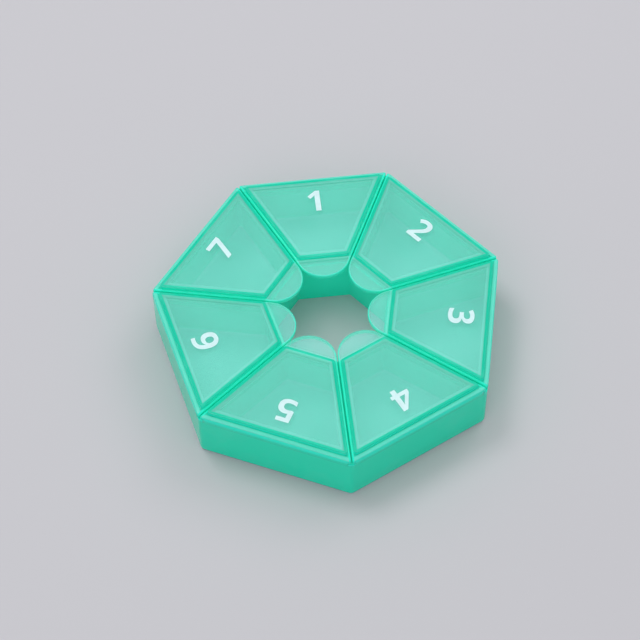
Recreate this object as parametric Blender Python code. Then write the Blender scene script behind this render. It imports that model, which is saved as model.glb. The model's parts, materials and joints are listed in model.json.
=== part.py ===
"""Seven-day pill box: a moulded ring tray with seven bays round a through hole,
seven plug-fit lids with finger tabs, and the living hinges that join each lid to the tray.

All lengths are in metres, +Z is up and the tray stands on Z = 0. The first lid points to +Y and
the others follow clockwise, seen from above. The origin is the middle of the footprint's box.
"""
import math

import bpy
import bmesh
from mathutils import Matrix

# Outline of the ring
DAYS = 7
CORNER_CIRCLE_RADIUS = 0.0520
HOLE_FACE_DISTANCE = 0.0160

# Tray
RIM_HEIGHT = 0.0165
FLOOR_THICKNESS = 0.0012
OUTER_WALL = 0.0010
INNER_WALL = 0.0010
PARTITION_WALL = 0.0010
TRAY_CORNER_RADIUS = 0.0018
TRAY_BASE_RADIUS = 0.0012
HOLE_CORNER_RADIUS = 0.0010
BAY_CORNER_RADIUS = 0.0012
BAY_FLOOR_RADIUS = 0.0014
BAY_DRAFT = 0.00015
RIM_EDGE_RADIUS = 0.00015

# Lids
LID_SEAT_GAP = 0.0003
LID_SIDE_GAP = 0.0003
FLANGE_THICKNESS = 0.0015
FLANGE_CORNER_RADIUS = 0.0005
FLANGE_TOP_RADIUS = 0.0005
FLANGE_UNDER_RADIUS = 0.00015
PANEL_RISE = 0.0010
PANEL_THICKNESS = 0.0012
PANEL_EDGE_RADIUS = 0.0004
PANEL_UNDER_RADIUS = 0.0004
SKIRT_DEPTH = 0.0022
SKIRT_THICKNESS = 0.0010
SKIRT_CLEARANCE = 0.0003
SKIRT_LEAD_IN = 0.0003
SKIRT_INNER_CORNER_RADIUS = 0.0004
TAB_TIP_DISTANCE = 0.0108

# Living hinges
HINGE_END_DISTANCE = 0.0041
HINGE_HEIGHT = 0.0015
HINGE_THICKNESS = 0.0003
HINGE_BOW = 0.00015
HINGE_CLEARANCE = 0.00025
HINGE_RELIEF_DEPTH = 0.0005
HINGE_AXIS_OUTSET = 0.00015

# Modelling
CUT_OVERRUN = 0.0020
CORNER_STEPS = 6
ROUND_STEPS = 3
SMALL_ROUND_STEPS = 3
TAB_STEPS = 28
BOW_STEPS = 6
SMOOTH_ANGLE = math.radians(40)

# Plastic: one translucent green, a little deeper in the thick tray and paler in the thin webs
TRAY_COLOUR = (0.020, 0.480, 0.330, 1.0)
LID_COLOUR = (0.150, 0.700, 0.560, 1.0)
HINGE_COLOUR = (0.060, 0.600, 0.450, 1.0)
PLASTIC_ROUGHNESS = 0.30

# Sizes that follow from those above
HALF_SECTOR = math.pi / DAYS
WALL_DISTANCE = CORNER_CIRCLE_RADIUS * math.cos(HALF_SECTOR)
FLANGE_UNDERSIDE = RIM_HEIGHT + LID_SEAT_GAP
FLANGE_TOP = FLANGE_UNDERSIDE + FLANGE_THICKNESS
PANEL_TOP = FLANGE_TOP + PANEL_RISE
PANEL_UNDERSIDE = PANEL_TOP - PANEL_THICKNESS
SKIRT_FOOT = FLANGE_UNDERSIDE - SKIRT_DEPTH
HINGE_AXIS_HEIGHT = RIM_HEIGHT + LID_SEAT_GAP / 2
HINGE_AXIS_DISTANCE = WALL_DISTANCE + HINGE_AXIS_OUTSET
HINGE_LENGTH = 2 * (WALL_DISTANCE * math.tan(HALF_SECTOR) - HINGE_END_DISTANCE)
HINGE_RELIEF_HEIGHT = HINGE_HEIGHT + 2 * HINGE_CLEARANCE
HINGE_RELIEF_LENGTH = HINGE_LENGTH + 2 * HINGE_CLEARANCE
HINGE_INNER_FACE = WALL_DISTANCE - HINGE_RELIEF_DEPTH + HINGE_CLEARANCE
HINGE_OUTER_FACE = HINGE_INNER_FACE + HINGE_BOW + HINGE_THICKNESS
TAB_CENTRE = (TAB_TIP_DISTANCE - LID_SIDE_GAP / 2) / (1 - math.sin(HALF_SECTOR))
TAB_RADIUS = TAB_CENTRE - TAB_TIP_DISTANCE

# The ring's axis stands behind the origin, because a corner reaches further forward than a wall back
CORNER_REACH = CORNER_CIRCLE_RADIUS - TRAY_CORNER_RADIUS * (1 / math.cos(HALF_SECTOR) - 1)
WALL_REACH = max(HINGE_OUTER_FACE, WALL_DISTANCE)
RING_AXIS_Y = (CORNER_REACH - WALL_REACH) / 2


def clear_scene():
    """Remove every object, so that the script can be run again."""
    for old in list(bpy.data.objects):
        bpy.data.objects.remove(old, do_unlink=True)


def plastic(name, colour):
    """A moulded translucent plastic."""
    material = bpy.data.materials.new(name)
    material.use_nodes = True
    shader = material.node_tree.nodes["Principled BSDF"]
    shader.inputs["Base Color"].default_value = colour
    shader.inputs["Roughness"].default_value = PLASTIC_ROUGHNESS
    shader.inputs["Metallic"].default_value = 0.0
    return material


def rounded(corners, radii, steps):
    """Replace each corner of an anticlockwise outline by an arc that touches both of its sides."""
    points = []
    for i, (x, y) in enumerate(corners):
        before = corners[i - 1]
        after = corners[(i + 1) % len(corners)]
        back = math.atan2(before[1] - y, before[0] - x)
        ahead = math.atan2(after[1] - y, after[0] - x)
        half = ((back - ahead) % (2 * math.pi)) / 2
        bisector = ahead + half
        reach = radii[i] / math.sin(half)
        centre = (x + reach * math.cos(bisector), y + reach * math.sin(bisector))
        sweep = math.pi / 2 - half
        for step in range(steps + 1):
            angle = bisector + math.pi + sweep * (2 * step / steps - 1)
            points.append((centre[0] + radii[i] * math.cos(angle),
                           centre[1] + radii[i] * math.sin(angle)))
    return points


def ring_outline(face_distance, corner_radius):
    """The whole ring's outline, with flat sides at face_distance and a corner towards -Y."""
    corner_distance = face_distance / math.cos(HALF_SECTOR)
    corners = []
    for i in range(DAYS):
        angle = -math.pi / 2 + 2 * HALF_SECTOR * i
        corners.append((corner_distance * math.cos(angle), corner_distance * math.sin(angle)))
    return rounded(corners, [corner_radius] * DAYS, CORNER_STEPS)


def half_width(distance, side_gap):
    """Half the width of a sector at a distance from the ring's axis, less a gap along each side."""
    return distance * math.tan(HALF_SECTOR) - side_gap / math.cos(HALF_SECTOR)


def bay_outline(inset, corner_radius):
    """One bay's outline, with every side moved in by inset. The sector points along +X."""
    outer = WALL_DISTANCE - OUTER_WALL - inset
    inner = HOLE_FACE_DISTANCE + INNER_WALL + inset
    side_gap = PARTITION_WALL / 2 + inset
    wide = half_width(outer, side_gap)
    narrow = half_width(inner, side_gap)
    corners = [(outer, -wide), (outer, wide), (inner, narrow), (inner, -narrow)]
    return rounded(corners, [corner_radius] * len(corners), CORNER_STEPS)


def flange_outline(inset):
    """The lid's plate: flush with the tray's wall outside, ending in a round finger tab inside."""
    outer = WALL_DISTANCE - inset
    wide = half_width(outer, LID_SIDE_GAP / 2 + inset)
    apex = (LID_SIDE_GAP / 2 + inset) / math.sin(HALF_SECTOR)
    corners = [(outer, -wide), (outer, wide), (apex, 0)]
    radii = [FLANGE_CORNER_RADIUS, FLANGE_CORNER_RADIUS, 0]
    outline = rounded(corners, radii, CORNER_STEPS)[:2 * (CORNER_STEPS + 1)]
    for step in range(TAB_STEPS + 1):
        turn = math.pi / 2 + HALF_SECTOR
        angle = turn + (2 * math.pi - 2 * turn) * step / TAB_STEPS
        outline.append((TAB_CENTRE + (TAB_RADIUS - inset) * math.cos(angle),
                        (TAB_RADIUS - inset) * math.sin(angle)))
    return outline


def quarter_round(radius, steps):
    """Pairs of inset and rise along a quarter circle, from the flat to the wall."""
    pairs = []
    for step in range(steps + 1):
        angle = math.pi / 2 * step / steps
        pairs.append((radius * (1 - math.sin(angle)), radius * (1 - math.cos(angle))))
    return pairs


def loft(name, rings):
    """A closed solid through outlines at rising heights, each ring a pair of outline and height."""
    bm = bmesh.new()
    loops = []
    for outline, height in rings:
        loops.append([bm.verts.new((x, y, height)) for x, y in outline])
    for low, high in zip(loops, loops[1:]):
        for i in range(len(low)):
            j = (i + 1) % len(low)
            bm.faces.new((low[i], low[j], high[j], high[i]))
    bm.faces.new(list(reversed(loops[0])))
    bm.faces.new(loops[-1])
    bmesh.ops.recalc_face_normals(bm, faces=bm.faces)
    mesh = bpy.data.meshes.new(name)
    bm.to_mesh(mesh)
    bm.free()
    return mesh


def block(name, low, high):
    """A rectangular block between two corners."""
    outline = [(low[0], low[1]), (high[0], low[1]), (high[0], high[1]), (low[0], high[1])]
    return loft(name, [(outline, low[2]), (outline, high[2])])


def joined(name, meshes):
    """One mesh that holds several separate bodies, each given with its own placing."""
    bm = bmesh.new()
    for mesh, placing in meshes:
        copy = mesh.copy()
        copy.transform(placing)
        bm.from_mesh(copy)
        bpy.data.meshes.remove(copy)
    result = bpy.data.meshes.new(name)
    bm.to_mesh(result)
    bm.free()
    return result


def combined(name, base, steps):
    """Apply a row of Booleans to a mesh and return the finished mesh, shaded smooth on its rounds."""
    body = bpy.data.objects.new(name, base)
    bpy.context.scene.collection.objects.link(body)
    tools = []
    for index, (operation, mesh) in enumerate(steps):
        tool = bpy.data.objects.new(f"{name}_tool_{index}", mesh)
        tool.hide_render = True
        tool.display_type = "WIRE"
        bpy.context.scene.collection.objects.link(tool)
        boolean = body.modifiers.new(f"{operation.lower()}_{index}", "BOOLEAN")
        boolean.operation = operation
        boolean.solver = "EXACT"
        boolean.object = tool
        tools.append(tool)
    evaluated = body.evaluated_get(bpy.context.evaluated_depsgraph_get())
    mesh = bpy.data.meshes.new_from_object(evaluated)
    mesh.name = name
    for spare in tools + [body]:
        bpy.data.objects.remove(spare, do_unlink=True)
    mesh.shade_smooth()
    mesh.set_sharp_from_angle(angle=SMOOTH_ANGLE)
    return mesh


def sector_turn(day):
    """The turn about the ring's axis that points the +X sector at a day, clockwise from +Y."""
    return Matrix.Rotation(math.pi / 2 - 2 * HALF_SECTOR * day, 4, "Z")


def tray_shell():
    """The tray's outside: upright walls over a rounded base edge."""
    rings = []
    for inset, rise in quarter_round(TRAY_BASE_RADIUS, ROUND_STEPS):
        rings.append((ring_outline(WALL_DISTANCE - inset, TRAY_CORNER_RADIUS - inset), rise))
    for inset, fall in reversed(quarter_round(RIM_EDGE_RADIUS, 1)):
        rings.append((ring_outline(WALL_DISTANCE - inset, TRAY_CORNER_RADIUS - inset), RIM_HEIGHT - fall))
    return loft("tray_shell", rings)


def hole_cutter():
    """The through hole, drawn past both faces."""
    outline = ring_outline(HOLE_FACE_DISTANCE, HOLE_CORNER_RADIUS)
    return loft("hole_cutter", [(outline, -CUT_OVERRUN), (outline, RIM_HEIGHT + CUT_OVERRUN)])


def bay_cutter():
    """One bay: a rounded floor edge and walls that open towards the rim by the moulding draft."""
    rings = []
    for inset, rise in quarter_round(BAY_FLOOR_RADIUS, ROUND_STEPS):
        narrowing = BAY_DRAFT + inset
        rings.append((bay_outline(narrowing, BAY_CORNER_RADIUS), FLOOR_THICKNESS + rise))
    rings.append((bay_outline(0, BAY_CORNER_RADIUS), RIM_HEIGHT))
    rings.append((bay_outline(0, BAY_CORNER_RADIUS), RIM_HEIGHT + CUT_OVERRUN))
    return loft("bay_cutter", rings)


def relief_cutter():
    """The slot along the outer edge, half in the rim and half in the lid, that a web lies in."""
    low = (WALL_DISTANCE - HINGE_RELIEF_DEPTH, -HINGE_RELIEF_LENGTH / 2,
           HINGE_AXIS_HEIGHT - HINGE_RELIEF_HEIGHT / 2)
    high = (WALL_DISTANCE + CUT_OVERRUN, HINGE_RELIEF_LENGTH / 2,
            HINGE_AXIS_HEIGHT + HINGE_RELIEF_HEIGHT / 2)
    return block("relief_cutter", low, high)


def tray_mesh():
    """The tray: shell less the hole, the bays and the hinge reliefs."""
    bay = bay_cutter()
    relief = relief_cutter()
    turns = [sector_turn(day) for day in range(DAYS)]
    bays = joined("bay_cutters", [(bay, turn) for turn in turns])
    reliefs = joined("relief_cutters", [(relief, turn) for turn in turns])
    steps = [("DIFFERENCE", hole_cutter()), ("DIFFERENCE", bays), ("DIFFERENCE", reliefs)]
    return combined("tray", tray_shell(), steps)


def flange_plate():
    """The lid's plate with its edges broken, finger tab included."""
    rings = []
    for inset, rise in quarter_round(FLANGE_UNDER_RADIUS, 1):
        rings.append((flange_outline(inset), FLANGE_UNDERSIDE + rise))
    for inset, fall in reversed(quarter_round(FLANGE_TOP_RADIUS, SMALL_ROUND_STEPS)):
        rings.append((flange_outline(inset), FLANGE_TOP - fall))
    return loft("flange_plate", rings)


def plug_block():
    """The outside of the raised panel and of the skirt below it, as one upright block."""
    radius = BAY_CORNER_RADIUS - SKIRT_CLEARANCE
    rings = []
    for inset, rise in ((SKIRT_LEAD_IN, 0), (0, SKIRT_LEAD_IN)):
        rings.append((bay_outline(SKIRT_CLEARANCE + inset, radius - inset), SKIRT_FOOT + rise))
    for inset, fall in reversed(quarter_round(PANEL_EDGE_RADIUS, SMALL_ROUND_STEPS)):
        rings.append((bay_outline(SKIRT_CLEARANCE + inset, radius - inset), PANEL_TOP - fall))
    return loft("plug_block", rings)


def plug_hollow():
    """The hollow under the raised panel, open at the skirt's foot."""
    wall = SKIRT_CLEARANCE + SKIRT_THICKNESS
    radius = SKIRT_INNER_CORNER_RADIUS
    rings = [(bay_outline(wall, radius), SKIRT_FOOT - CUT_OVERRUN)]
    for inset, fall in reversed(quarter_round(PANEL_UNDER_RADIUS, SMALL_ROUND_STEPS)):
        rings.append((bay_outline(wall + inset, radius), PANEL_UNDERSIDE - fall))
    return loft("plug_hollow", rings)


def lid_mesh():
    """A lid: plate and plug in one, hollow underneath, with its half of the hinge relief."""
    steps = [("UNION", plug_block()), ("DIFFERENCE", plug_hollow()), ("DIFFERENCE", relief_cutter())]
    return combined("lid", flange_plate(), steps)


def hinge_mesh():
    """A living hinge: a thin web, bowed out a little, as high as it has to be to bend."""
    inside = []
    outside = []
    for step in range(BOW_STEPS + 1):
        share = 2 * step / BOW_STEPS - 1
        bow = HINGE_BOW * (1 - share * share)
        height = HINGE_AXIS_HEIGHT + share * HINGE_HEIGHT / 2
        inside.append((HINGE_INNER_FACE + bow, height))
        outside.append((HINGE_INNER_FACE + bow + HINGE_THICKNESS, height))
    profile = outside + list(reversed(inside))
    bm = bmesh.new()
    ends = []
    for y in (-HINGE_LENGTH / 2, HINGE_LENGTH / 2):
        ends.append([bm.verts.new((x, y, z)) for x, z in profile])
    for i in range(len(profile)):
        j = (i + 1) % len(profile)
        bm.faces.new((ends[0][i], ends[0][j], ends[1][j], ends[1][i]))
    bm.faces.new(ends[0])
    bm.faces.new(list(reversed(ends[1])))
    bmesh.ops.recalc_face_normals(bm, faces=bm.faces)
    mesh = bpy.data.meshes.new("living_hinge")
    bm.to_mesh(mesh)
    bm.free()
    mesh.shade_smooth()
    mesh.set_sharp_from_angle(angle=SMOOTH_ANGLE)
    return mesh


def placed(name, mesh, material, parent):
    """An object for a mesh, with its material and its parent."""
    if not mesh.materials:
        mesh.materials.append(material)
    piece = bpy.data.objects.new(name, mesh)
    bpy.context.scene.collection.objects.link(piece)
    piece.parent = parent
    return piece


def empty(name, parent, matrix):
    """A frame that pieces hang on."""
    frame = bpy.data.objects.new(name, None)
    bpy.context.scene.collection.objects.link(frame)
    frame.parent = parent
    frame.matrix_basis = matrix
    return frame


def build_tray(ring):
    """The tray stands on the ring's own frame."""
    placed("tray", tray_mesh(), plastic("tray_plastic", TRAY_COLOUR), ring)


def build_lids(ring):
    """Seven lids and their webs, each on an empty that lies on its hinge's axis."""
    lid = lid_mesh()
    web = hinge_mesh()
    lid_plastic = plastic("lid_plastic", LID_COLOUR)
    web_plastic = plastic("hinge_plastic", HINGE_COLOUR)
    to_axis = Matrix.Translation((HINGE_AXIS_DISTANCE, 0, HINGE_AXIS_HEIGHT))
    lid.transform(to_axis.inverted())
    for day in range(DAYS):
        sector = empty(f"sector_{day + 1}", ring, sector_turn(day))
        axis = empty(f"lid_axis_{day + 1}", sector, to_axis)
        placed(f"lid_{day + 1}", lid, lid_plastic, axis)
        placed(f"living_hinge_{day + 1}", web, web_plastic, sector)


def main():
    clear_scene()
    ring = empty("ring", None, Matrix.Translation((0, RING_AXIS_Y, 0)))
    build_tray(ring)
    build_lids(ring)


main()
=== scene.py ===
"""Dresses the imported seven-day pill box: clear plastic, printed numerals and living hinges."""
import json
import math

import bmesh
import bpy
from mathutils import Matrix, Vector


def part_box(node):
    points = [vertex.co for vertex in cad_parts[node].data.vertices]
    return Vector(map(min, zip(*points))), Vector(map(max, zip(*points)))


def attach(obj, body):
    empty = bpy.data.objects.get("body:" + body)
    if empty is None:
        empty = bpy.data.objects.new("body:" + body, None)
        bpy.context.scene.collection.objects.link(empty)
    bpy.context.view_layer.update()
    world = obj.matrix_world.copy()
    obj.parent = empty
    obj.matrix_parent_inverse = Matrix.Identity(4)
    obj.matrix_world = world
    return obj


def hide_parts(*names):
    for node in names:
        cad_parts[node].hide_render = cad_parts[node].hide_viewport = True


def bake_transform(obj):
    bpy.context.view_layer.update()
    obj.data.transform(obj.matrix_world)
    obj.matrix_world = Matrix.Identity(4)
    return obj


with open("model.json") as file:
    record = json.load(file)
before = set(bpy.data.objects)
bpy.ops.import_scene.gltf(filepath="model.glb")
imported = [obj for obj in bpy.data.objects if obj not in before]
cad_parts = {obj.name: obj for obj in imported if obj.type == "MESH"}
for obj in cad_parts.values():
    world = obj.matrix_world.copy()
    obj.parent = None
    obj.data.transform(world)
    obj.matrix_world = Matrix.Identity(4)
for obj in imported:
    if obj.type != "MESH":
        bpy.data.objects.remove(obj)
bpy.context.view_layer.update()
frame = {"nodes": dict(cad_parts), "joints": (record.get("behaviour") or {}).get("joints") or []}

bl_info = {
    "name": "Seven-day pill box",
    "version": (1, 0, 0),
    "blender": (4, 5, 0),
    "location": "3D View > Sidebar > Pill box",
    "description": "Finishes the moulded ring of seven lidded bays and sets it in a small studio",
    "category": "Add Mesh",
}

MM = 0.001

# What the frame says: its box, its joints in day order, and the ring's axis in their middle
HINGES = sorted(frame["joints"], key=lambda joint: joint["name"])
DAYS = len(HINGES)
HALF_SECTOR = math.pi / DAYS
HINGE_POINTS = [Vector(joint["pos_m"]) for joint in HINGES]
RING_AXIS = sum(HINGE_POINTS, Vector()) / DAYS
TRAY_LOW, TRAY_HIGH = (Vector(corner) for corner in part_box("tray"))
LID_HIGH = Vector(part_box("lid_1")[1])
FOOT = TRAY_LOW.z
RIM_HEIGHT = TRAY_HIGH.z
PANEL_TOP = LID_HIGH.z
WALL_DISTANCE = LID_HIGH.y - RING_AXIS.y

# How a moulding's mesh is cleaned, and how its broken edges are cut
WELD = 0.002 * MM
FLAT_ANGLE = math.radians(0.5)
SHARP_ANGLE = math.radians(50)
EDGE_SEGMENTS = 2
FLAT_WEIGHT = 80

# Points of a made shell that lie nearer than this are merged
MERGE = 0.001 * MM

# The character before 1 in Blender's own bold numerals, and how tall they stand as a share of size
BOLD_ZERO = 0x1D7EC
NUMERAL_SHARE = 0.714

# The web: the attribute that runs over it from -1 at the tray to 1 at the lid, its points along and
# across, and how its bow fades across and along it
LID_SIDE = "lid_side"
WEB_GRID = (41, 17)
BOW_ACROSS, BOW_ALONG = 2.0, 10.0

# Half the width over which one part of a look blends into the next
SOFT = 0.15 * MM

# The upward part of a normal: a face stands upright below the first and lies level above the second
UPRIGHT, LEVEL = 0.25, 0.85

# How far parts of a lid take the rim's colour, a painted glow and highlight (tint), and its
# opacity (body), and how far they reach
STRIP_GLOW, STRIP_BODY = 0.40, 0.65
STEP_GLOW, STEP_REACH = 0.30, 3.0 * MM
TAB_HIGHLIGHT_TINT = 0.80
GLOW_BODY = 0.24
LEDGE_BODY, LEDGE_START, LEDGE_END = 0.50, 0.4 * MM, 1.1 * MM

# Where on its attribute a web turns from the wall's colour to the rim's painted glow
WEB_GLOW = (0.05, 0.25)

# The plastic's unevenness: the flow noise's range and share, how strong it is, and how much of it a
# wall keeps back; then what it does to roughness and to the bump
FLOW_RANGE = (0.30, 0.70)
FLOW_SHARE = 0.7
UNEVENNESS = 0.28
WALL_CALM = 0.65
GRAIN_ROUGHNESS, LUMP_ROUGHNESS = 0.06, 0.05
GRAIN_BUMP, FLOW_BUMP = 0.5, 1.6
PLASTIC_BUMP_DEPTH = 0.010 * MM
PLASTIC_SHEEN = 0.35

# The ink's unevenness: its thin places' range and share, how far they darken it, and its mottle
THIN_RANGE = (0.35, 0.75)
THIN_SHARE = 0.6
INK_SHADE = 0.10
INK_ROUGHNESS, MOTTLE_ROUGHNESS = 0.5, 0.15
INK_BUMP_DEPTH = 0.006 * MM

BUMP_STRENGTH = 0.4

# The table, in metres: its radius, its sides, and where the camera sees it run into the backdrop
TABLE_RADIUS, TABLE_SIDES = 4.0, 64
TABLE_FADE = (0.20, 0.70)
TABLE_SHADE = 0.012
TABLE_ROUGHNESS, TABLE_SHEEN = 0.75, 0.25

DAYLIGHT_COLOUR = (0.98, 0.99, 1.0)

# The square lamps: side and place, in metres
LAMPS = {
    "softbox": (0.35, Vector((-0.30, 0.30, 0.88))),
    "window": (0.50, Vector((0.50, 0.42, 0.70))),
    "fill": (0.50, Vector((-0.33, -0.71, 0.55))),
}

# The photograph's camera: its place and the point that it looks at, both from the foot of the
# ring's axis, its turn about the line of sight, its focal length in pixels, and its sensor in mm
CAMERA_PLACE = Vector((-36.27, -332.28, 508.34)) * MM
CAMERA_TARGET = Vector((-3.50, -4.58, 18.72)) * MM
CAMERA_ROLL = math.radians(-0.82)
FOCAL_PIXELS = 2065.2
IMAGE_WIDTH = 640
SENSOR_WIDTH = 36.0


def outward(day):
    """The level direction from the ring's axis to a day's hinge."""
    away = HINGE_POINTS[day] - RING_AXIS
    return Vector((away.x, away.y, 0)).normalized()


def turn_of(day):
    """The angle from +X to a day's direction."""
    away = outward(day)
    return math.atan2(away.y, away.x)


# Settings that a user would change


class PlasticSettings(bpy.types.PropertyGroup):
    """The green plastic of the tray, the lids and the webs."""
    dye: bpy.props.FloatVectorProperty(
        name="Dye", description="Colour that light keeps on its way through the plastic",
        default=(0.060, 0.925, 0.825), size=3, subtype="COLOR")
    dye_strength: bpy.props.FloatProperty(
        name="Dye strength", description="How much light a metre of plastic takes away",
        default=70.0)
    panel: bpy.props.FloatVectorProperty(
        name="Panel", description="Colour of a lid's panel and strips", default=(0.30, 1.0, 0.87),
        size=3, subtype="COLOR")
    tab: bpy.props.FloatVectorProperty(
        name="Tab", description="Colour of a lid's finger tab", default=(0.36, 1.0, 0.92), size=3,
        subtype="COLOR")
    rib: bpy.props.FloatVectorProperty(
        name="Rib", description="Colour over a lid's ribs", default=(0.0, 0.66, 0.43), size=3,
        subtype="COLOR")
    # Painted glow for light the plastic carries: on rims, the hole, strips, seams and edge faces
    rim: bpy.props.FloatVectorProperty(
        name="Rim", description="Colour of bright edges, where the plastic lets out its light",
        default=(0.02, 1.0, 0.74), size=3, subtype="COLOR")
    wall: bpy.props.FloatVectorProperty(
        name="Wall", description="Colour of the tray's walls, from outside",
        default=(0.0, 0.90, 0.58), size=3, subtype="COLOR")
    # Painted lighter than the outer wall, standing for light let into the bays through the plastic
    bay: bpy.props.FloatVectorProperty(
        name="Bay", description="Colour of the walls inside a bay", default=(0.13, 1.0, 0.80),
        size=3, subtype="COLOR")
    # Partly the thin plastic's own pale tone, partly painted light in the bays
    floor: bpy.props.FloatVectorProperty(
        name="Floor", description="Colour of the tray's floor", default=(0.46, 1.0, 0.96),
        size=3, subtype="COLOR")
    wall_opacity: bpy.props.FloatProperty(
        name="Wall opacity", description="How far each face of a tray wall hides what lies behind",
        default=0.92, min=0.0, max=1.0, subtype="FACTOR")
    floor_opacity: bpy.props.FloatProperty(
        name="Floor opacity", description="How far each face of the floor hides what lies behind",
        default=0.92, min=0.0, max=1.0, subtype="FACTOR")
    rim_opacity: bpy.props.FloatProperty(
        name="Rim opacity", description="How far each face of a rim or rib hides what lies behind",
        default=0.80, min=0.0, max=1.0, subtype="FACTOR")
    panel_opacity: bpy.props.FloatProperty(
        name="Panel opacity", description="How far each face of a panel hides what lies behind",
        default=0.30, min=0.0, max=1.0, subtype="FACTOR")
    tab_opacity: bpy.props.FloatProperty(
        name="Tab opacity", description="How far each face of a tab hides what lies behind",
        default=0.29, min=0.0, max=1.0, subtype="FACTOR")
    refraction: bpy.props.FloatProperty(
        name="Refraction", description="Index of refraction", default=1.49)
    roughness: bpy.props.FloatProperty(
        name="Roughness", description="Roughness of a moulded face", default=0.18,
        min=0.0, max=1.0, subtype="FACTOR")


class TraySettings(bpy.types.PropertyGroup):
    """Where the tray's walls, its rims and hole with their painted glow, and its pale floor lie."""
    edge: bpy.props.FloatProperty(
        name="Edge", description="Width of the tray's broken edges", default=0.10 * MM,
        unit="LENGTH")
    # Inside this, the hole's wall takes the painted glow
    hole_wall: bpy.props.FloatProperty(
        name="Hole wall", description="From the ring's axis to the middle of the hole's wall",
        default=16.7 * MM, unit="LENGTH")
    wall_depth: bpy.props.FloatProperty(
        name="Wall depth", description="From the tray's outside to the middle of its outer wall",
        default=0.5 * MM, unit="LENGTH")
    # The band below the rim that takes the painted glow
    top_depth: bpy.props.FloatProperty(
        name="Top depth", description="How far down from the rim the plastic looks bright",
        default=0.6 * MM, unit="LENGTH")
    floor_height: bpy.props.FloatProperty(
        name="Floor height", description="Height up to which level faces look pale",
        default=2.5 * MM, unit="LENGTH")


class LidSettings(bpy.types.PropertyGroup):
    """Where the raised panel, the rib below its edge and the finger tab lie on a lid."""
    edge: bpy.props.FloatProperty(
        name="Edge", description="Width of a lid's broken edges", default=0.06 * MM,
        unit="LENGTH")
    outer_strip: bpy.props.FloatProperty(
        name="Outer strip", description="From the lid's outer edge in to its panel",
        default=1.3 * MM, unit="LENGTH")
    side_strip: bpy.props.FloatProperty(
        name="Side strip", description="From the middle of a seam in to the panel",
        default=0.8 * MM, unit="LENGTH")
    inner_end: bpy.props.FloatProperty(
        name="Inner end", description="From the ring's axis out to the panel", default=17.3 * MM,
        unit="LENGTH")
    rib: bpy.props.FloatProperty(
        name="Rib", description="Thickness of the rib that plugs the bay", default=1.0 * MM,
        unit="LENGTH")
    # A painted highlight: the bright line just inside the rib
    glow: bpy.props.FloatProperty(
        name="Glow", description="How far a bright line reaches in from the rib",
        default=0.85 * MM, unit="LENGTH")
    tab_centre: bpy.props.FloatProperty(
        name="Tab centre", description="From the ring's axis to the middle of the finger tab",
        default=18.81 * MM, unit="LENGTH")
    tab_radius: bpy.props.FloatProperty(
        name="Tab radius", description="Radius of the round finger tab", default=8.01 * MM,
        unit="LENGTH")
    # Width of the painted highlight on the tab's edge
    tab_line: bpy.props.FloatProperty(
        name="Tab line", description="Width of the bright line along the finger tab's edge",
        default=0.35 * MM, unit="LENGTH")


class PrintSettings(bpy.types.PropertyGroup):
    """The numeral printed on each lid."""
    height: bpy.props.FloatProperty(
        name="Height", description="Height of a numeral", default=7.4 * MM, unit="LENGTH")
    thickness: bpy.props.FloatProperty(
        name="Thickness", description="Thickness of the ink, most of it pressed into the panel",
        default=0.035 * MM, unit="LENGTH")
    proud: bpy.props.FloatProperty(
        name="Proud", description="How far the ink stands above the panel", default=0.012 * MM,
        unit="LENGTH")
    distance: bpy.props.FloatProperty(
        name="Distance", description="From the ring's axis to the middle of a numeral",
        default=37.0 * MM, unit="LENGTH")
    ink: bpy.props.FloatVectorProperty(
        name="Ink", description="Colour of the ink", default=(0.67, 0.91, 0.93), size=3,
        subtype="COLOR")


class HingeSettings(bpy.types.PropertyGroup):
    """The thin web that joins a lid to the tray."""
    length: bpy.props.FloatProperty(
        name="Length", description="Length along the rim", default=42.8 * MM, unit="LENGTH")
    height: bpy.props.FloatProperty(
        name="Height", description="Height from the tray's relief to the lid's",
        default=2.28 * MM, unit="LENGTH")
    thickness: bpy.props.FloatProperty(
        name="Thickness", description="Thickness of the web", default=0.28 * MM, unit="LENGTH")
    bow: bpy.props.FloatProperty(
        name="Bow", description="How far the middle of the web stands out", default=0.15 * MM,
        unit="LENGTH")
    inset: bpy.props.FloatProperty(
        name="Inset", description="From the hinge's axis in to the web's inner face at its ends",
        default=0.42 * MM, unit="LENGTH")


class StageSettings(bpy.types.PropertyGroup):
    """The table, the daylight and the lamps."""
    floor: bpy.props.FloatVectorProperty(
        name="Table", description="Colour of the table and the backdrop",
        default=(0.565, 0.556, 0.588), size=3, subtype="COLOR")
    daylight: bpy.props.FloatProperty(
        name="Daylight", description="Strength of the soft light from straight overhead",
        default=0.90)
    horizon: bpy.props.FloatProperty(
        name="Horizon", description="Share of that strength that is left at the horizon",
        default=0.30, min=0.0, max=1.0, subtype="FACTOR")
    softbox: bpy.props.FloatProperty(
        name="Softbox", description="Power of the lamp behind, to the left, in watts",
        default=2.2)
    window: bpy.props.FloatProperty(
        name="Window", description="Power of the lamp behind, to the right, in watts",
        default=1.4)
    fill: bpy.props.FloatProperty(
        name="Fill", description="Power of the weak lamp at the front, in watts", default=0.9)


# Small helpers for meshes and for node trees


def made_mesh(name, mesh, *materials):
    """A piece at the origin that shows a finished mesh."""
    mesh.materials.clear()
    for material in materials:
        mesh.materials.append(material)
    piece = bpy.data.objects.new(name, mesh)
    bpy.context.scene.collection.objects.link(piece)
    return piece


def finished(piece):
    """Turns a piece's modifiers into plain mesh and takes them off."""
    graph = bpy.context.evaluated_depsgraph_get()
    graph.update()
    mesh = bpy.data.meshes.new_from_object(piece.evaluated_get(graph), depsgraph=graph)
    piece.modifiers.clear()
    piece.data = mesh
    return piece


def lighter(colour, amount):
    """A colour moved towards white."""
    return tuple(channel + (1 - channel) * amount for channel in colour[:3])


def darker(colour, amount):
    """A colour moved towards black."""
    return tuple(channel * (1 - amount) for channel in colour[:3])


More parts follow.
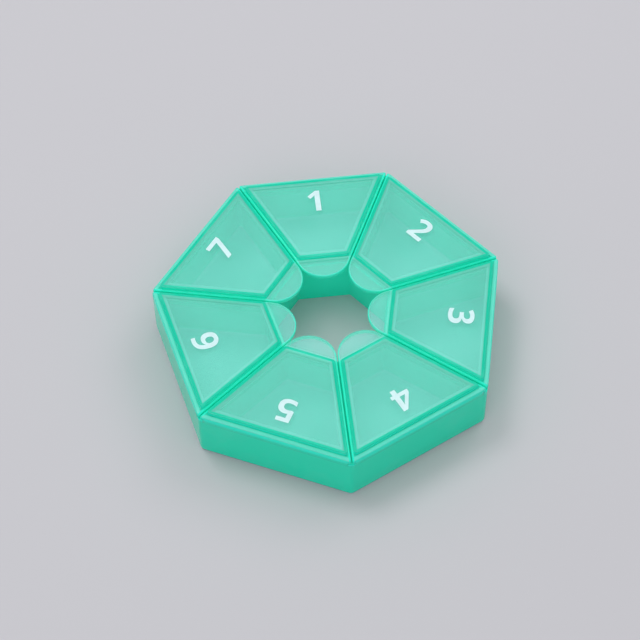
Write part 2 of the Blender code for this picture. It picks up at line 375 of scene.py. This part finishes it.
class Wire:
    """A value in a shader tree: arithmetic on it adds Math nodes."""

    def __init__(self, tree, socket):
        self.tree = tree
        self.socket = socket

    def __add__(self, other):
        return self.tree.math("ADD", self, other)

    def __radd__(self, other):
        return self.tree.math("ADD", other, self)

    def __sub__(self, other):
        return self.tree.math("SUBTRACT", self, other)

    def __rsub__(self, other):
        return self.tree.math("SUBTRACT", other, self)

    def __mul__(self, other):
        return self.tree.math("MULTIPLY", self, other)

    def __mod__(self, other):
        return self.tree.math("MODULO", self, other)

    def __abs__(self):
        return self.tree.math("ABSOLUTE", self)

    def least(self, other):
        """The smaller of two values."""
        return self.tree.math("MINIMUM", self, other)

    def most(self, other):
        """The larger of two values."""
        return self.tree.math("MAXIMUM", self, other)

    def band(self, low, high):
        """0 below low, 1 above high and smooth between them."""
        settings = {"interpolation_type": "SMOOTHSTEP"}
        return self.tree.add("ShaderNodeMapRange", settings, self, low, high, 0.0, 1.0)

    def past(self, place):
        """0 before a place and 1 past it, in metres, with a soft step between."""
        return self.band(place - SOFT, place + SOFT)


class Tree:
    """The node tree of a material or a world, written as Python expressions."""

    def __init__(self, owner):
        owner.use_nodes = True
        self.nodes = owner.node_tree.nodes
        self.links = owner.node_tree.links
        self.nodes.clear()

    def add(self, kind, settings=None, *values, output=None, **named):
        """A node with its settings made first, then its sockets, in order or by name."""
        node = self.nodes.new(kind)
        for key, value in (settings or {}).items():
            setattr(node, key, value)
        usable = [socket for socket in node.inputs if socket.enabled]
        by_name = [(node.inputs[key], value) for key, value in named.items()]
        for socket, value in list(zip(usable, values)) + by_name:
            self.feed(socket, value)
        if output:
            return Wire(self, node.outputs[output])
        return Wire(self, next(socket for socket in node.outputs if socket.enabled))

    def feed(self, socket, value):
        """A link, a colour or a number into a socket."""
        if isinstance(value, Wire):
            self.links.new(value.socket, socket)
        elif socket.type == "RGBA":
            socket.default_value = (*value[:3], 1.0)
        else:
            socket.default_value = value

    def math(self, operation, *values):
        """One Math node."""
        return self.add("ShaderNodeMath", {"operation": operation}, *values)

    def parts(self, vector):
        """The x, y and z of a vector."""
        split = self.add("ShaderNodeSeparateXYZ", None, vector).socket.node
        return [Wire(self, socket) for socket in split.outputs]

    def place(self):
        """A point on the piece, in metres."""
        return self.add("ShaderNodeTexCoord", output="Object")

    def reach(self, x, y):
        """How far out a point lies whose two distances are given."""
        return self.math("SQRT", x * x + y * y)

    def sector(self):
        """How far out from the ring's axis a point lies, and how far beside its lid's middle."""
        from_axis = self.add("ShaderNodeVectorMath", {"operation": "SUBTRACT"}, self.place(),
                             RING_AXIS)
        x, y, _ = self.parts(from_axis)
        reach = self.reach(x, y)
        start = 2 * math.pi - turn_of(0) + HALF_SECTOR
        aside = (self.math("ARCTAN2", y, x) + start) % (2 * HALF_SECTOR) - HALF_SECTOR
        out = reach * self.math("COSINE", aside)
        across = reach * self.math("SINE", aside)
        return out, abs(across)

    def upright(self):
        """1 on faces that stand upright, 0 on level ones."""
        _, _, up = self.parts(self.add("ShaderNodeTexCoord", output="Normal"))
        return 1 - abs(up).band(UPRIGHT, LEVEL)

    def noise(self, size, detail=2.0, roughness=0.5, seed=0.0):
        """Smooth noise with lumps of about one size, in metres."""
        where = self.add("ShaderNodeMapping", {"vector_type": "POINT"}, self.place(),
                         (seed, seed, seed))
        return self.add("ShaderNodeTexNoise", {"noise_dimensions": "3D"}, where, Scale=1 / size,
                        Detail=detail, Roughness=roughness)

    def blend(self, factor, first, second):
        """A colour between two colours."""
        settings = {"data_type": "RGBA", "clamp_factor": True}
        return self.add("ShaderNodeMix", settings, factor, first, second)

    def bump(self, height, depth):
        """A normal that follows a height between 0 and 1, depth metres deep."""
        return self.add("ShaderNodeBump", None, Strength=BUMP_STRENGTH, Distance=depth,
                        Height=height)

    def seen(self):
        """1 for rays from the camera and in gloss and clear plastic, 0 for the rest."""
        rays = [self.add("ShaderNodeLightPath", output=f"Is {kind} Ray")
                for kind in ("Camera", "Glossy", "Transmission")]
        return rays[0].most(rays[1]).most(rays[2])

    def principled(self, **sockets):
        """A Principled shader; a socket is named with underscores for spaces."""
        named = {name.replace("_", " "): value for name, value in sockets.items()}
        return self.add("ShaderNodeBsdfPrincipled", None, **named)

    def between(self, factor, first, second):
        """A mix of two shaders."""
        return self.add("ShaderNodeMixShader", None, factor, first, second)

    def end(self, surface, volume=None, kind="ShaderNodeOutputMaterial"):
        """The output at the end of the tree: what the surface is, and what fills the solid."""
        output = self.nodes.new(kind)
        self.links.new(surface.socket, output.inputs["Surface"])
        if volume is not None:
            self.links.new(volume.socket, output.inputs["Volume"])


# Finishes


def lid_look(tree, plastic, lid, cloud):
    """Colour and opacity across a lid: clear panel and tab, deep ribs, and painted glow and
    highlights on strips, seams, edges and the tab's rim.
    """
    out, across = tree.sector()
    from_edge = (WALL_DISTANCE - lid.outer_strip) - out
    from_seam = out * math.sin(HALF_SECTOR) - across * math.cos(HALF_SECTOR) - lid.side_strip
    from_tab = out - lid.inner_end
    inward = from_edge.least(from_tab).least(from_seam)
    from_centre = tree.reach(out - lid.tab_centre, across)

    panel = inward.band(-2 * SOFT, 0.0)
    over_rib = panel * (1 - inward.past(lid.rib))
    # A band just inside the rib made more opaque, so the panel's colour covers the shaded corner
    # below
    glow = panel * (1 - inward.past(lid.rib + lid.glow))
    tab = 1 - from_tab.past(0.0)
    # Painted glow near the tab's step, lifting the shade there
    step = tab * from_tab.band(-STEP_REACH, 0.0)
    # The tab made more opaque near its start, so its own colour covers the shaded gap seen through
    # it
    ledge = tab * from_tab.band(-LEDGE_END, -LEDGE_START)
    # A painted highlight along the tab's round edge
    tab_line = tab * from_centre.past(lid.tab_radius - lid.tab_line)
    # Painted glow on the outer strip
    strip = 1 - from_edge.past(0.0)
    # Painted glow on the strips beside the seams and on every upright face of the lid
    sides = (1 - from_seam.past(0.0)) * (1 - tab)
    bright = sides.most(tree.upright())

    clear = tree.blend(tab, plastic.panel, plastic.tab)
    colour = tree.blend(over_rib + cloud, clear, plastic.rib)
    # How far each place takes the rim's painted glow
    tint = (strip * STRIP_GLOW).most(step * STEP_GLOW).most(bright).most(tab_line * TAB_HIGHLIGHT_TINT)

    thin = plastic.panel_opacity + tab * (plastic.tab_opacity - plastic.panel_opacity)
    body = over_rib.most(strip * STRIP_BODY).most(bright).most(glow * GLOW_BODY)
    body = body.most(tab_line).most(ledge * LEDGE_BODY)
    opacity = thin + body * (plastic.rim_opacity - plastic.panel_opacity)
    return tree.blend(tint, colour, plastic.rim), opacity


def tray_look(tree, plastic, tray, cloud):
    """Colour and opacity of the tray: deep outside; pale bays and floor, partly painted light; rim
    and hole bright with painted glow.
    """
    out, _ = tree.sector()
    _, _, height = tree.parts(tree.place())
    # Painted glow on the top below the rim and on the hole's wall
    top = height.past(RIM_HEIGHT - tray.top_depth)
    hole = 1 - out.past(tray.hole_wall)
    outside = out.past(WALL_DISTANCE - tray.wall_depth)
    deep = tree.upright().most(height.past(tray.floor_height))

    # The bays' insides painted lighter than the outside walls, standing for light let into the bays
    walls = tree.blend(outside, plastic.bay, plastic.wall)
    # Level faces low down are pale: partly the thin plastic's own tone, partly painted light
    colour = tree.blend(deep + cloud * (1 - deep * WALL_CALM), plastic.floor, walls)
    opacity = plastic.floor_opacity + deep * (plastic.wall_opacity - plastic.floor_opacity)
    return tree.blend(top.most(hole), colour, plastic.rim), opacity


def web_look(tree, plastic, _, cloud):
    """Colour and opacity of a web: deep, with the rim's painted glow where it lies on its lid's
    edge.
    """
    lid_side = tree.add("ShaderNodeAttribute", {"attribute_name": LID_SIDE}, output="Fac")
    colour = tree.blend(1 + cloud * (1 - WALL_CALM), plastic.floor, plastic.wall)
    # Painted glow on the lid's side of the web
    return tree.blend(lid_side.band(*WEB_GLOW), colour, plastic.rim), plastic.wall_opacity


def dyed_plastic(name, plastic, look, sizes=None):
    """See-through moulded plastic: it dyes the light that crosses it, so thick places look deep."""
    material = bpy.data.materials.new(name)
    tree = Tree(material)
    flow = tree.noise(size=14 * MM, detail=3.0, roughness=0.55, seed=1.7)
    lumps = tree.noise(size=3.5 * MM, seed=4.1)
    grain = tree.noise(size=0.55 * MM, roughness=0.6, seed=9.3)
    uneven = flow.band(*FLOW_RANGE) * FLOW_SHARE + lumps * (1 - FLOW_SHARE)
    colour, opacity = look(tree, plastic, sizes, (uneven - 0.5) * UNEVENNESS)
    rough = (grain - 0.5) * GRAIN_ROUGHNESS + (lumps - 0.5) * LUMP_ROUGHNESS
    surface = tree.principled(
        Base_Color=colour, Roughness=plastic.roughness + rough, IOR=plastic.refraction,
        Specular_IOR_Level=PLASTIC_SHEEN, Alpha=opacity,
        Normal=tree.bump(grain * GRAIN_BUMP + flow * FLOW_BUMP, PLASTIC_BUMP_DEPTH))
    dye = tree.add("ShaderNodeVolumeAbsorption", None, Color=plastic.dye,
                   Density=plastic.dye_strength)
    tree.end(surface, dye)
    return material


def printed_ink(name, colour):
    """Matt ink with a faint screen-print mottle and thin places."""
    material = bpy.data.materials.new(name)
    tree = Tree(material)
    mottle = tree.noise(size=0.45 * MM, detail=3.0, roughness=0.6, seed=6.2)
    thin = tree.noise(size=1.6 * MM, seed=3.3)
    wear = thin.band(*THIN_RANGE) * THIN_SHARE + mottle * (1 - THIN_SHARE)
    tree.end(tree.principled(
        Base_Color=tree.blend(wear, colour, darker(colour, INK_SHADE)),
        Roughness=INK_ROUGHNESS + mottle * MOTTLE_ROUGHNESS,
        Normal=tree.bump(mottle, INK_BUMP_DEPTH)))
    return material


def table_top(name, colour):
    """Plain pale matt paint, faintly uneven; far out, the camera sees it run into the backdrop."""
    material = bpy.data.materials.new(name)
    tree = Tree(material)
    cloud = tree.noise(size=160 * MM, seed=5.0)
    tint = tree.blend(cloud, darker(colour, TABLE_SHADE), lighter(colour, TABLE_SHADE))
    matt = tree.principled(Base_Color=tint, Roughness=TABLE_ROUGHNESS,
                           Specular_IOR_Level=TABLE_SHEEN)
    backdrop = tree.add("ShaderNodeEmission", None, Color=colour, Strength=1.0)
    distance = tree.add("ShaderNodeVectorMath", {"operation": "LENGTH"}, tree.place())
    tree.end(tree.between(distance.band(*TABLE_FADE) * tree.seen(), matt, backdrop))
    return material


# Meshes


def moulded(node_name, edge):
    """A copy of a CAD node, merged to whole faces, its hard edges broken as a mould leaves them."""
    name = f"{node_name}_moulding"
    mesh = frame["nodes"][node_name].data.copy()
    mesh.name = name
    if "custom_normal" in mesh.attributes:
        mesh.attributes.remove(mesh.attributes["custom_normal"])
    solid = bmesh.new()
    solid.from_mesh(mesh)
    bmesh.ops.remove_doubles(solid, verts=solid.verts, dist=WELD)
    bmesh.ops.dissolve_limit(solid, angle_limit=FLAT_ANGLE, verts=solid.verts, edges=solid.edges)
    solid.to_mesh(mesh)
    solid.free()
    mesh.shade_smooth()
    piece = made_mesh(name, mesh)
    bevel = piece.modifiers.new("broken edges", "BEVEL")
    bevel.limit_method = "ANGLE"
    bevel.angle_limit = SHARP_ANGLE
    bevel.width = edge
    bevel.segments = EDGE_SEGMENTS
    bevel.use_clamp_overlap = True
    bevel.miter_outer = "MITER_ARC"
    weighted = piece.modifiers.new("flat faces stay flat", "WEIGHTED_NORMAL")
    weighted.mode = "FACE_AREA"
    weighted.weight = FLAT_WEIGHT
    return finished(piece)


class Growth:
    """Writes a Geometry Nodes tree: nodes with settings and sockets, and links between them."""

    def __init__(self, name, inputs):
        self.tree = bpy.data.node_groups.new(name, "GeometryNodeTree")
        interface = self.tree.interface
        interface.new_socket("Mesh", in_out="OUTPUT", socket_type="NodeSocketGeometry")
        for label, kind in inputs.items():
            interface.new_socket(label, in_out="INPUT", socket_type=f"NodeSocket{kind}")
        self.source = self.tree.nodes.new("NodeGroupInput")

    def input(self, label):
        """The socket that brings in a named input."""
        return self.source.outputs[label]

    def add(self, kind, settings=None, **sockets):
        """A node, made with its settings first; a socket is named with underscores for spaces."""
        node = self.tree.nodes.new(kind)
        for key, value in (settings or {}).items():
            setattr(node, key, value)
        # Reversed, so that the first of several sockets with one name is the one kept
        usable = {socket.name: socket for socket in reversed(node.inputs) if socket.enabled}
        for key, value in sockets.items():
            self.feed(usable[key.replace("_", " ")], value)
        return next(socket for socket in node.outputs if socket.enabled)

    def feed(self, socket, value):
        """One or several links, or a plain value, into a socket."""
        if isinstance(value, list):
            for each in value:
                self.tree.links.new(each, socket)
        elif isinstance(value, bpy.types.NodeSocket):
            self.tree.links.new(value, socket)
        else:
            socket.default_value = value

    def math(self, operation, first, second=0.0):
        """A sum on two numbers."""
        node = self.tree.nodes.new("ShaderNodeMath")
        node.operation = operation
        self.feed(node.inputs[0], first)
        self.feed(node.inputs[1], second)
        return node.outputs[0]

    def xyz(self, x=0.0, y=0.0, z=0.0):
        """A vector from three numbers."""
        return self.add("ShaderNodeCombineXYZ", X=x, Y=y, Z=z)

    def share(self, distance, label):
        """A distance from the middle as a share, from -1 to 1, of half a named input."""
        return self.math("DIVIDE", distance, self.math("MULTIPLY", self.input(label), 0.5))

    def hump(self, share, power):
        """1 in the middle and 0 at both ends; a higher power keeps more of it near 1."""
        return self.math("SUBTRACT", 1.0, self.math("POWER", self.math("ABSOLUTE", share), power))

    def shell(self, sheet, direction):
        """A closed shell: a sheet moved by Thickness, with the sheet turned over as its back."""
        front = self.add("GeometryNodeExtrudeMesh", {"mode": "FACES"}, Mesh=sheet,
                         Offset=direction, Offset_Scale=self.input("Thickness"), Individual=False)
        back = self.add("GeometryNodeFlipFaces", Mesh=sheet)
        both = self.add("GeometryNodeJoinGeometry", Geometry=[back, front])
        return self.add("GeometryNodeMergeByDistance", Geometry=both, Distance=MERGE)

    def placed(self, mesh):
        """A mesh turned about the upright by Turn and moved to Place."""
        return self.add("GeometryNodeTransform", Geometry=mesh, Translation=self.input("Place"),
                        Rotation=self.xyz(z=self.input("Turn")))

    def end(self, mesh):
        """Realize Instances and Set Material, then the tree's output."""
        plain = self.add("GeometryNodeRealizeInstances", Geometry=mesh)
        painted = self.add("GeometryNodeSetMaterial", Geometry=plain,
                           Material=self.input("Material"))
        sink = self.tree.nodes.new("NodeGroupOutput")
        self.tree.links.new(painted, sink.inputs["Mesh"])
        return self.tree


def grown(name, tree, values):
    """The plain mesh that a tree makes with these inputs, as a piece."""
    piece = made_mesh(name, bpy.data.meshes.new(name))
    modifier = piece.modifiers.new(tree.name, "NODES")
    modifier.node_group = tree
    for item in tree.interface.items_tree:
        if item.in_out == "INPUT":
            modifier[item.identifier] = values[item.name]
    return finished(piece)


def numeral_tree():
    """A printed numeral: its outline filled, thickened and turned to its lid."""
    growth = Growth("printed numeral", {
        "Numeral": "String", "Height": "Float", "Thickness": "Float", "Place": "Vector",
        "Turn": "Float", "Material": "Material"})
    size = growth.math("DIVIDE", growth.input("Height"), NUMERAL_SHARE)
    curves = growth.add("GeometryNodeStringToCurves",
                        {"align_x": "CENTER", "align_y": "MIDDLE", "pivot_mode": "MIDPOINT"},
                        String=growth.input("Numeral"), Size=size)
    outline = growth.add("GeometryNodeRealizeInstances", Geometry=curves)
    face = growth.add("GeometryNodeFillCurve", {"mode": "NGONS"}, Curve=outline)
    return growth.end(growth.placed(growth.shell(face, growth.xyz(z=1.0))))


def web_tree():
    """A living hinge: a sheet along the rim, bowed outwards across its height and thickened."""
    growth = Growth("living hinge web", {
        "Length": "Float", "Height": "Float", "Thickness": "Float", "Bow": "Float",
        "Inset": "Float", "Place": "Vector", "Turn": "Float", "Material": "Material"})
    points_along, points_up = WEB_GRID
    sheet = growth.add("GeometryNodeMeshGrid", Size_X=growth.input("Length"),
                       Size_Y=growth.input("Height"), Vertices_X=points_along,
                       Vertices_Y=points_up)
    split = growth.tree.nodes.new("ShaderNodeSeparateXYZ")
    growth.feed(split.inputs[0], growth.add("GeometryNodeInputPosition"))
    along, up = split.outputs[0], split.outputs[1]
    height_share = growth.share(up, "Height")
    humps = growth.math("MULTIPLY", growth.hump(height_share, BOW_ACROSS),
                        growth.hump(growth.share(along, "Length"), BOW_ALONG))
    bow = growth.math("MULTIPLY", growth.input("Bow"), humps)
    out = growth.math("SUBTRACT", bow, growth.input("Inset"))
    marked = growth.add("GeometryNodeStoreNamedAttribute",
                        {"data_type": "FLOAT", "domain": "POINT"},
                        Geometry=sheet, Name=LID_SIDE, Value=height_share)
    # The sheet's length lies along Y, its height along Z, and +X is outwards
    stood = growth.add("GeometryNodeSetPosition", Geometry=marked,
                       Position=growth.xyz(out, along, up))
    placed = growth.placed(growth.shell(stood, growth.xyz(x=1.0)))
    return growth.end(growth.add("GeometryNodeSetShadeSmooth", Geometry=placed))


# Operators: one for each kind of piece and one for the stage


class PILLBOX_OT_tray(bpy.types.Operator):
    """Finish the tray: broken edges and deep see-through plastic"""
    bl_idname = "pillbox.tray"
    bl_label = "Tray"

    def execute(self, context):
        sizes = context.scene.pillbox_tray
        tray = moulded("tray", sizes.edge)
        tray.data.materials.append(
            dyed_plastic("tray plastic", context.scene.pillbox_plastic, tray_look, sizes))
        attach(tray, "tray")
        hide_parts("tray")
        return {"FINISHED"}


class PILLBOX_OT_lids(bpy.types.Operator):
    """Finish the seven lids: broken edges and pale see-through plastic"""
    bl_idname = "pillbox.lids"
    bl_label = "Lids"

    def execute(self, context):
        sizes = context.scene.pillbox_lid
        plastic = dyed_plastic("lid plastic", context.scene.pillbox_plastic, lid_look, sizes)
        for day in range(DAYS):
            lid = moulded(f"lid_{day + 1}", sizes.edge)
            lid.data.materials.append(plastic)
            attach(lid, f"lid_{day + 1}")
            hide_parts(f"lid_{day + 1}")
        return {"FINISHED"}


class PILLBOX_OT_hinges(bpy.types.Operator):
    """Make the seven living hinges, each a thin web between its lid and the tray"""
    bl_idname = "pillbox.hinges"
    bl_label = "Living hinges"

    def execute(self, context):
        settings = context.scene.pillbox_hinge
        plastic = dyed_plastic("web plastic", context.scene.pillbox_plastic, web_look)
        tree = web_tree()
        for day, place in enumerate(HINGE_POINTS):
            web = grown(f"hinge_web_{day + 1}", tree, {
                "Length": settings.length, "Height": settings.height,
                "Thickness": settings.thickness, "Bow": settings.bow, "Inset": settings.inset,
                "Place": place, "Turn": turn_of(day), "Material": plastic})
            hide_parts(f"living_hinge_{day + 1}")
            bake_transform(web)
        return {"FINISHED"}


class PILLBOX_OT_numerals(bpy.types.Operator):
    """Print a numeral on each lid, its top towards the hinge"""
    bl_idname = "pillbox.numerals"
    bl_label = "Numerals"

    def execute(self, context):
        settings = context.scene.pillbox_print
        ink = printed_ink("pale ink", settings.ink)
        tree = numeral_tree()
        for day in range(DAYS):
            place = RING_AXIS + outward(day) * settings.distance
            place.z = PANEL_TOP + settings.proud - settings.thickness
            numeral = grown(f"numeral_{day + 1}", tree, {
                "Numeral": chr(BOLD_ZERO + day + 1), "Height": settings.height,
                "Thickness": settings.thickness, "Place": place,
                "Turn": turn_of(day) - math.pi / 2, "Material": ink})
            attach(numeral, f"lid_{day + 1}")
        return {"FINISHED"}


class PILLBOX_OT_stage(bpy.types.Operator):
    """Set out the table, the daylight, the lamps and the camera"""
    bl_idname = "pillbox.stage"
    bl_label = "Stage"

    def execute(self, context):
        settings = context.scene.pillbox_stage
        scene = context.scene
        scene.view_settings.view_transform = "Standard"
        self.table(settings)
        self.daylight(scene, settings)
        for name, (side, place) in LAMPS.items():
            self.lamp(scene, name, getattr(settings, name), side, place)
        self.camera(scene)
        return {"FINISHED"}

    def table(self, settings):
        """A round table top, its surface at the tray's foot."""
        disc = bmesh.new()
        bmesh.ops.create_circle(disc, cap_ends=True, radius=TABLE_RADIUS, segments=TABLE_SIDES)
        mesh = bpy.data.meshes.new("table_top")
        disc.to_mesh(mesh)
        disc.free()
        mesh.transform(Matrix.Translation((0, 0, FOOT)))
        made_mesh("table_top", mesh, table_top("table paint", settings.floor))

    def daylight(self, scene, settings):
        """Soft light, strongest overhead; the camera, gloss and clear plastic see the backdrop."""
        scene.world = bpy.data.worlds.new("daylight")
        tree = Tree(scene.world)
        _, _, up = tree.parts(tree.add("ShaderNodeTexCoord", output="Generated"))
        strength = tree.add("ShaderNodeMapRange", None, up, 0.0, 1.0,
                            settings.daylight * settings.horizon, settings.daylight)
        sky = tree.add("ShaderNodeBackground", None, DAYLIGHT_COLOUR, strength)
        backdrop = tree.add("ShaderNodeBackground", None, settings.floor, 1.0)
        tree.end(tree.between(tree.seen(), sky, backdrop), kind="ShaderNodeOutputWorld")

    def lamp(self, scene, name, watts, side, place):
        """A square lamp that faces the box."""
        data = bpy.data.lights.new(name, "AREA")
        data.shape = "SQUARE"
        data.size = side
        data.energy = watts
        lamp = bpy.data.objects.new(name, data)
        scene.collection.objects.link(lamp)
        lamp.location = place
        lamp.rotation_euler = (-place).to_track_quat("-Z", "Y").to_euler()

    def camera(self, scene):
        """The photograph's place, direction and lens."""
        foot = Vector((RING_AXIS.x, RING_AXIS.y, FOOT))
        eye = foot + CAMERA_PLACE
        ahead = (foot + CAMERA_TARGET - eye).normalized()
        right = ahead.cross(Vector((0, 0, 1))).normalized()
        level = Matrix((right, right.cross(ahead), -ahead)).transposed()
        roll = Matrix.Rotation(CAMERA_ROLL, 3, "Z")
        data = bpy.data.cameras.new("camera")
        data.sensor_width = SENSOR_WIDTH
        data.lens = FOCAL_PIXELS / IMAGE_WIDTH * SENSOR_WIDTH
        camera = bpy.data.objects.new("camera", data)
        scene.collection.objects.link(camera)
        camera.matrix_world = Matrix.Translation(eye) @ (level @ roll).to_4x4()
        scene.camera = camera


class PILLBOX_PT_panel(bpy.types.Panel):
    """Lists the settings and the operators"""
    bl_idname = "PILLBOX_PT_panel"
    bl_label = "Pill box"
    bl_space_type = "VIEW_3D"
    bl_region_type = "UI"
    bl_category = "Pill box"

    def draw(self, context):
        for group in GROUPS:
            box = self.layout.box()
            box.label(text=group.removeprefix("pillbox_").capitalize())
            settings = getattr(context.scene, group)
            for name in settings.__annotations__:
                box.prop(settings, name)
        for operator in OPERATORS:
            self.layout.operator(operator.bl_idname)


OPERATORS = (PILLBOX_OT_tray, PILLBOX_OT_lids, PILLBOX_OT_hinges, PILLBOX_OT_numerals,
             PILLBOX_OT_stage)
GROUPS = {
    "pillbox_plastic": PlasticSettings,
    "pillbox_tray": TraySettings,
    "pillbox_lid": LidSettings,
    "pillbox_print": PrintSettings,
    "pillbox_hinge": HingeSettings,
    "pillbox_stage": StageSettings,
}


def register():
    """Makes the settings, the operators and the panel known to Blender."""
    for name, group in GROUPS.items():
        bpy.utils.register_class(group)
        setattr(bpy.types.Scene, name, bpy.props.PointerProperty(type=group))
    for operator in OPERATORS:
        bpy.utils.register_class(operator)
    bpy.utils.register_class(PILLBOX_PT_panel)


def unregister():
    """Takes them out again, last first."""
    bpy.utils.unregister_class(PILLBOX_PT_panel)
    for operator in reversed(OPERATORS):
        bpy.utils.unregister_class(operator)
    for name, group in reversed(GROUPS.items()):
        delattr(bpy.types.Scene, name)
        bpy.utils.unregister_class(group)


def main():
    register()
    bpy.ops.pillbox.tray()
    bpy.ops.pillbox.lids()
    bpy.ops.pillbox.hinges()
    bpy.ops.pillbox.numerals()
    bpy.ops.pillbox.stage()


if __name__ == "__main__":
    main()
